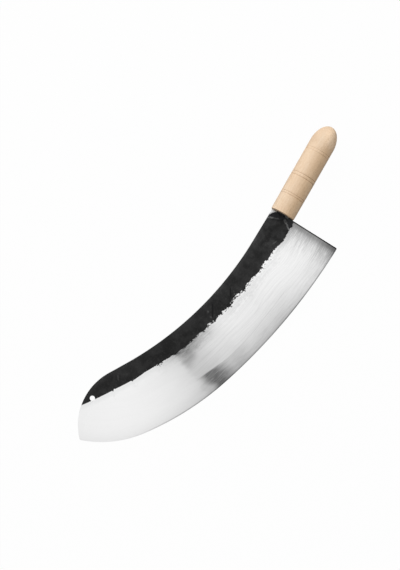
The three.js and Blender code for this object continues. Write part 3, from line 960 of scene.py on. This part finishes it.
# Ground steel: levels at runs along the edge, dipping by painted dark reflection, streaks, and a bright
# rim by the scale that is a painted highlight
GROUND_LEVELS = (
    (0, 1), (90, 1), (165, 0.99), (180, 0.96), (195, 0.89), (212, 0.84), (228, 0.745), (246, 0.665),
    (256, 0.665), (268, 0.79), (285, 0.87), (315, 0.94), (365, 1), (430, 1))
POLISH = 0.87
STREAK_LIFT = 0.02
STREAKED = (272, 250, 0.12, 1)
WANDER_NOISE = ((0.014, 0.02, 1), 1, 0.5)
WANDER = (0.2, 0.8, -4, 4)
LONG_NOISE = ((0.012, 0.55, 1), 4, 0.7)
LONG_STREAKS = (0.25, 0.75, -0.05, 0.05)
FINE_NOISE = ((0.05, 4.5, 1), 2, 0.5)
FINE_STREAKS = (0.2, 0.8, -0.025, 0.025)
FINE_DEPTH = 0.12
CONTOUR_NOISE = ((0.008, 0.5, 2), 2, 0.6)
CONTOUR_LINES = (0.003, 0.02, -0.06, 0)
SWAY_NOISE = ((0.03, 0.12, 1), 2, 0.5)
COMBING = (0.3, 0.7, 0.75, 1.1)
SIDE_SHADE = 0.35
RIM_LEVELS = ((0, 0.2), (40, 0.5), (60, 1), (130, 1), (155, 0.4), (200, 0.15), (240, 0), (430, 0))
RIM_REACH = (-4, -1.2)
RIM_LIGHT = 0.1


def ground_colour(flow, from_heel, border, fine, on_side):
    """The ground steel: streaked, with painted dark reflection in places and a painted highlight by the
    scale's border.
    """
    run, depth, _ = flow.split()
    wander = flow.noise(*WANDER_NOISE).step(*WANDER)
    wavy_flow = flow.vectors("ADD", wander.put("CombineXYZ", {1: wander}))
    streak = wavy_flow.noise(*LONG_NOISE).step(*LONG_STREAKS) + fine.step(*FINE_STREAKS)
    streak += abs(wavy_flow.noise(*CONTOUR_NOISE) - 0.5).step(*CONTOUR_LINES)
    polish = (streak + STREAK_LIFT) * run.step(*STREAKED) + POLISH
    rim = border.step(*RIM_REACH) * run.curve(RIM_LEVELS)
    run += flow.noise(*SWAY_NOISE).step(*WANDER)
    combed = hairs(flow).step(*COMBING)
    level = run.curve(GROUND_LEVELS)
    level = paint_edge_shade(level, run, depth, combed)
    level = paint_patch_shade(level, run, depth, combed)
    level = paint_border_shade(level, flow, run, depth, border)
    level = paint_heel_shade(level, flow, depth, from_heel)
    # Painted shade on the blade's side faces, and the painted highlight by the scale's border
    return (level * polish * (1 - on_side * SIDE_SHADE) + rim * RIM_LIGHT).grey()


# Scale: levels at runs along the edge, noises in metres and where dust lies
SCALE_LEVELS = (
    (0, 0.66), (26, 0.7), (46, 0.98), (90, 0.86), (150, 0.87), (230, 0.66), (300, 0.7), (430, 0.82))
SCALE_GREYS = (0, 1, 0.012, 0.05)
SPINE_LEVELS = ((0, 0.4), (26, 0.45), (45, 1), (75, 0.45), (150, 0.6), (250, 0.3), (430, 0.4))
SPINE_SHEEN = 0.034
SPINE_REACH = 3.5
# Painted shade on the spine's rounded corner
SPINE_CORNER_SHADE = (0.2, 1.3, 0.4, 1)
MOTTLE_NOISE = ((55,) * 3, 5, 0.6)
MOTTLE_DUST = (0.33, 0.7, 0, 0.6)
SCUFF_NOISE = ((420,) * 3, 4, 0.65)
SCUFF_DUST = (0.48, 0.75, 0, 0.5)
SPECK_NOISE = ((760,) * 3, 2, 0.5)
SPECK_DUST = (0.62, 0.74, 0, 0.5)
BLOTCH_NOISE = ((130,) * 3, 3, 0.5)
BLOTCH_DUST = (0.4, 0.65, -0.12, 0.34)
BLOTCH_END = (80, 45)
PIT_NOISE = ((1500,) * 3, 4, 0.6)

# Marks where steel shows through, most of them by the handle, the first two being a painted highlight
# along the compound's raised rim: ends, width and brightness
BARE_CORNER = ((-1, 13.5), (-4, 15), 6, 0.7)
BARE_MARKS_AND_HIGHLIGHT = (
    # Painted highlight along the raised rim of the compound
    ((-13.2, 15), (-10.6, 8.6), 1.3, 0.14),
    ((-10.6, 8.6), (-8.2, 2.2), 1.1, 0.05),
    ((-6, -7), (-8.2, -10.2), 2.2, 0.09),
    ((-8.2, -10.2), (-13.9, -17.5), 1.4, 0.2),
    ((-1.3, -5.5), (-1.3, -9), 1.6, 0.13),
    ((-36, -11), (-41, -8), 0.8, 0.07),
    ((-298, 85), (-303, 81.5), 1.4, 0.045),
)
MARK_CORE = 0.3
MARK_WOBBLE = (3, 1.6)
MARK_WEAR = (0.3, 0.55, 0.5, 1)

# Dark lines and pale spots on the scale, by run and depth: ends, core and width, and colour
DARK = (0.006, 0.006, 0.0065, 1)
PALE = (0.07, 0.07, 0.07, 1)
SCALE_MARKS = (
    ((136, 84), (144, 77), 0.4, 1.4, DARK),
    ((172, 87), (185, 75.5), 0.4, 1.4, DARK),
    ((138, 74), (138, 75), 0, 2, PALE),
    ((184, 84.5), (184, 85.5), 0, 2, PALE),
    ((187, 76.5), (187, 77.5), 0, 2, PALE),
)
LINE_WOBBLE = (4, 1.2)

# Finish of the whole blade
SCALE_ROUGHNESS = (0, 1, 0.3, 0.5)
SCUFF_ROUGHNESS = (0.3, 0.7, 0, 0.14)
STEEL_BUMP = 0.06


def marks_and_highlight(colour, place, worn, marks):
    """A colour with bare marks and painted highlights on it, which are fainter where they are less worn.
    """
    place = place.wobbled(*MARK_WOBBLE)
    for start, end, width, level in marks:
        mark = place.near(start, end, MARK_CORE * width, width)
        colour = (mark * worn).mix(colour, (level, level, level, 1))
    return colour


def scale_colour(flow, place, spot, from_spine, scuff):
    """The forge scale: dusty, brighter by the spine, darker on its rounded corner by painted shade, with
    marks and a painted highlight on it.
    """
    run = flow.split()[0]
    dust = spot.noise(*MOTTLE_NOISE).step(*MOTTLE_DUST) + scuff.step(*SCUFF_DUST)
    dust += spot.noise(*SPECK_NOISE).step(*SPECK_DUST)
    dust += spot.noise(*BLOTCH_NOISE).step(*BLOTCH_DUST) * run.step(*BLOTCH_END)
    level = dust.step(*SCALE_GREYS, linear=True) * run.curve(SCALE_LEVELS)
    sheen = (from_spine / -SPINE_REACH).math("EXPONENT") * run.curve(SPINE_LEVELS)
    # The spine's rounded corner is darkened by painted shade
    level = (level + sheen * SPINE_SHEEN) * from_spine.step(*SPINE_CORNER_SHADE)
    worn = scuff.step(*MARK_WEAR)
    colour = marks_and_highlight(level.grey(), place, worn, (BARE_CORNER, *BARE_MARKS_AND_HIGHLIGHT))
    flow = flow.wobbled(*LINE_WOBBLE)
    for *mark, mark_colour in SCALE_MARKS:
        colour = flow.near(*mark).mix(colour, mark_colour)
    return colour


def blade_steel():
    material, tree = new_material("blade_steel")
    flow = fact(tree, "flow", "Vector")
    place = fact(tree, "place", "Vector")
    spot = put(tree, "TexCoord", {}, "Object")
    from_heel = place.split()[2]
    border = torn_border(fact(tree, "border"), flow, flow.split()[0], from_heel)
    scale = border.step(*SCALE_EDGE)
    fine = flow.noise(*FINE_NOISE)
    scuff = spot.noise(*SCUFF_NOISE)
    ground = ground_colour(flow, from_heel, border, fine, fact(tree, "rim"))
    height = spot.noise(*PIT_NOISE) * scale + fine * FINE_DEPTH
    fill(tree.nodes["Principled BSDF"], {
        "Base Color": scale.mix(ground, scale_colour(flow, place, spot, fact(tree, "spine"), scuff)),
        "Metallic": 1 - scale,
        "Roughness": scale.step(*SCALE_ROUGHNESS) + scuff.step(*SCUFF_ROUGHNESS),
        "Specular IOR Level": 0.16,
        "Specular Tint": (0.7, 0.7, 0.7, 1),
        "Normal": height.bump(STEEL_BUMP),
    })
    return material


# Wood: colours, noises, steps and places. A layer is a strength and a colour.
# Painted light: paler wood on the lit side and warmer, more saturated wood on the shaded side
LIT_SIDE_WOOD = ((0.77, 0.59, 0.425, 1), (0.82, 0.66, 0.5, 1))
SHADED_SIDE_WOOD = ((0.83, 0.588, 0.372, 1), (0.885, 0.656, 0.435, 1))
SHADED_SIDE = (7, -11)
PATCH_NOISE = ((0.03, 0.09, 0.09), 2, 0.5)
PATCHES = (0.3, 0.7)
# Painted highlight on the right of the butt's dome
DOME_HIGHLIGHT_LAYER = (0.9, (1, 0.78, 0.57, 1))
DOME_HIGHLIGHT_PLACE = ((113, -8), (123, -5), 1, 13)
# Painted shade on the left of the butt's dome
DOME_SHADE_LAYER = (0.55, (0.62, 0.46, 0.32, 1))
DOME_SHADE_PLACE = ((108, 15), (130, 9), 2, 12)
# Painted shade towards the handle's outline, on both sides
OUTLINE_SHADE_LAYER = (0.45, (0.6, 0.45, 0.32, 1))
OUTLINE_SHADE_PLACE = (13.5, 17.2)
RING_LAYER = (0.18, (0.66, 0.455, 0.285, 1))
RING_WIDTH = 4.2
RING_BEND = 14
RING_NOISE = ((0.012, 0.05, 0.05), 2, 0.5)
PITH = (0, -46, 28)
FIBRE_LAYER = (0.28, (0.63, 0.43, 0.265, 1))
FIBRE_NOISE = ((0.09, 2.4, 2.4), 4, 0.6)
FIBRES = (0.35, 0.75)
FLAKE_LAYER = (1, (0.62, 0.415, 0.24, 1))
FLAKE_NOISE = ((0.3, 0.6, 0.6), 4, 0.7)
FLAKES = (0.42, 0.7)
FLAKE_SIDES = (6, -6, 0.27, 0.52)
RAY_LAYER = (0.5, (0.42, 0.25, 0.13, 1))
RAY_NOISE = ((0.55, 3.2, 3.2), 1, 0.5)
RAYS = (0.61, 0.73)
RAY_DEPTH = 0.6
# Burnt lines in the grooves, painted darker on the shaded side
GROOVE_LAYER = (1, (0.34, 0.19, 0.09, 1))
GROOVE_SHADE_BY_SIDE = (8, -10, 0.5, 1)
# Painted shade on the front face by the mouth
MOUTH_SHADE_LAYER = (0.3, (0.36, 0.23, 0.13, 1))
WOOD_ROUGHNESS = (0.2, 0.8, 0.55, 0.7)
WOOD_BUMP = 0.05


def handle_wood():
    material, tree = new_material("handle_wood")
    grain = fact(tree, "grain", "Vector")
    across = grain.split()[1]
    from_pith = grain.vectors("SUBTRACT", PITH).vectors("MULTIPLY", (0, 1, 1))
    from_pith = from_pith.vectors("LENGTH", output="Value")
    ring = grain.noise(*RING_NOISE) * RING_BEND + from_pith
    ring = (ring * (2 * math.pi / RING_WIDTH)).math("SINE").step(-1, 1)
    fibre = grain.noise(*FIBRE_NOISE)
    ray = grain.noise(*RAY_NOISE).step(*RAYS)
    flake = grain.noise(*FLAKE_NOISE).step(*FLAKES)
    patch = grain.noise(*PATCH_NOISE).step(*PATCHES)
    # Lit and shaded copies of the wood, by side: painted light
    colour = across.step(*SHADED_SIDE).mix(patch.mix(*LIT_SIDE_WOOD), patch.mix(*SHADED_SIDE_WOOD))
    layers = (
        (grain.near(*DOME_HIGHLIGHT_PLACE), DOME_HIGHLIGHT_LAYER),
        (grain.near(*DOME_SHADE_PLACE), DOME_SHADE_LAYER),
        (abs(across).step(*OUTLINE_SHADE_PLACE), OUTLINE_SHADE_LAYER),
        (ring, RING_LAYER),
        (fibre.step(*FIBRES), FIBRE_LAYER),
        (flake * across.step(*FLAKE_SIDES), FLAKE_LAYER),
        (ray, RAY_LAYER),
        (fact(tree, "groove") * across.step(*GROOVE_SHADE_BY_SIDE), GROOVE_LAYER),
        (fact(tree, "rim"), MOUTH_SHADE_LAYER),
    )
    for share, (strength, layer_colour) in layers:
        colour = (share * strength).mix(colour, layer_colour)
    fill(tree.nodes["Principled BSDF"], {
        "Base Color": colour,
        "Roughness": fibre.step(*WOOD_ROUGHNESS),
        "Specular IOR Level": 0.15,
        "Normal": (fibre - ray * RAY_DEPTH).bump(WOOD_BUMP),
    })
    return material


# Compound: dark and dusty colours, and where the dust lies
DARK_COMPOUND = ((0.004, 0.0045, 0.006, 1), (0.009, 0.0095, 0.012, 1))
DUSTY_COMPOUND = (0.036, 0.037, 0.038, 1)
CLOUD_NOISE = ((0.25,) * 3, 4, 0.5)
DUST_NOISE = ((2.2,) * 3, 4, 0.7)
DUSTY_SIDE = (-8, -12, 0, 0.4)
SKIRT_SLANT = 0.383
SKIRT_START = (-7.2, -8.2)
SKIRT_SIDE = (-5, -3)
SKIRT_DUST = 0.55
DUST_SPECKS = (0.6, 0.8, 0, 0.5)
COMPOUND_WEAR = (0.3, 0.6, 0.5, 1)
CLOUDS = (0.35, 0.7)
COMPOUND_ROUGHNESS = (0.3, 0.75, 0.22, 0.48)
COMPOUND_BUMP = 0.15


def bedding_compound():
    material, tree = new_material("bedding_compound")
    spot = fact(tree, "spot", "Vector")
    along, across, _ = spot.split()
    cloud = spot.noise(*CLOUD_NOISE)
    dust = spot.noise(*DUST_NOISE)
    skirt = (across * SKIRT_SLANT + along).step(*SKIRT_START) * across.step(*SKIRT_SIDE)
    dusty = dust.step(*DUST_SPECKS) + across.step(*DUSTY_SIDE)
    dusty = dusty.highest(skirt * SKIRT_DUST)
    colour = dusty.mix(cloud.step(*CLOUDS).mix(*DARK_COMPOUND), DUSTY_COMPOUND)
    # The compound's marks include a painted highlight along its raised rim
    worn = dust.step(*COMPOUND_WEAR)
    fill(tree.nodes["Principled BSDF"], {
        "Base Color": marks_and_highlight(colour, spot, worn, BARE_MARKS_AND_HIGHLIGHT),
        "Roughness": dust.step(*COMPOUND_ROUGHNESS),
        "Specular IOR Level": 0.15,
        "Normal": cloud.bump(COMPOUND_BUMP),
    })
    return material


# Floor, light and camera

FLOOR_SIZE = 9000
FLOOR_COLOUR = (0.5, 0.5, 0.5, 1)
FLOOR_WHITE_SHARE = 0.98
SKY_BOX = (0.45, 0.8, 0.05, 1)
KEY_TOWARDS = (-0.3, 0.86, 0.4)
KEY_DISTANCE = 1700
KEY_SIZE = 900
KEY_POWER = 21


def seen_directly(tree):
    """1 for rays from the camera, from a reflection or through glass, and 0 for the others."""
    names = ("Is Camera Ray", "Is Glossy Ray", "Is Transmission Ray")
    camera, glossy, through = (put(tree, "LightPath", {}, name) for name in names)
    return camera.highest(glossy).highest(through)


def pale_floor():
    """White where it is seen directly, with a share left for the shadow."""
    material, tree = new_material("pale_floor")
    tree.nodes.remove(tree.nodes["Principled BSDF"])
    share = seen_directly(tree) * FLOOR_WHITE_SHARE
    matt = put(tree, "BsdfDiffuse", {"Color": FLOOR_COLOUR})
    white = put(tree, "Emission", {"Strength": 1})
    fill(tree.nodes["Material Output"], {"Surface": put(tree, "MixShader", {0: share, 1: matt, 2: white})})
    return material


def make_floor():
    mesh = bpy.data.meshes.new("floor")
    corners = np.column_stack([FLOOR_SIZE * MM * SQUARE, np.zeros(4)])
    mesh.from_pydata(corners.tolist(), [], [(0, 1, 2, 3)])
    mesh.materials.append(pale_floor())
    floor = add_object("floor", mesh)


def make_sky():
    """White where it is seen directly. As a light it is a wide soft box overhead."""
    world = bpy.data.worlds.new("sky")
    world.use_nodes = True
    height = put(world.node_tree, "TexCoord", {}, "Generated").split()[2]
    box = height.step(*SKY_BOX)
    level = box.highest(seen_directly(world.node_tree))
    fill(world.node_tree.nodes["Background"], {"Color": level})
    bpy.context.scene.world = world


def view_axes():
    """The camera's right, up and back, in the row frame."""
    flat = [knife_axes @ np.array(axis) for axis in (VIEW_RIGHT, VIEW_UP)]
    return np.column_stack([*flat, np.cross(*flat)])


def make_lamp():
    lamp = bpy.data.lights.new("key", "AREA")
    lamp.shape = "DISK"
    lamp.size = KEY_SIZE * MM
    lamp.energy = KEY_POWER
    direction = Vector(view_axes() @ np.array(KEY_TOWARDS)).normalized()
    holder = add_object("key", lamp)
    holder.location = Vector(to_row_frame(VIEW_MIDDLE)) + direction * (KEY_DISTANCE * MM)
    holder.rotation_euler = direction.to_track_quat("Z", "Y").to_euler()


def make_camera():
    axes = view_axes()
    data = bpy.data.cameras.new("camera")
    data.sensor_width = SENSOR
    data.lens = SENSOR * VIEW_DISTANCE / VIEW_HEIGHT
    camera = add_object("camera", data)
    camera.location = to_row_frame(VIEW_MIDDLE) + axes[:, 2] * VIEW_DISTANCE * MM
    camera.rotation_euler = Matrix(axes.tolist()).to_euler()
    bpy.context.scene.camera = camera


def dress(piece, node):
    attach(piece, "root")
    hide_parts(node)


make_camera()
make_floor()
make_sky()
make_lamp()
bpy.context.scene.view_settings.view_transform = "Standard"

dress(make_blade(blade_steel()), "blade")
dress(make_handle(handle_wood()), "handle")
dress(make_bedding(bedding_compound()), "tang_bedding")

bpy.context.view_layer.update()
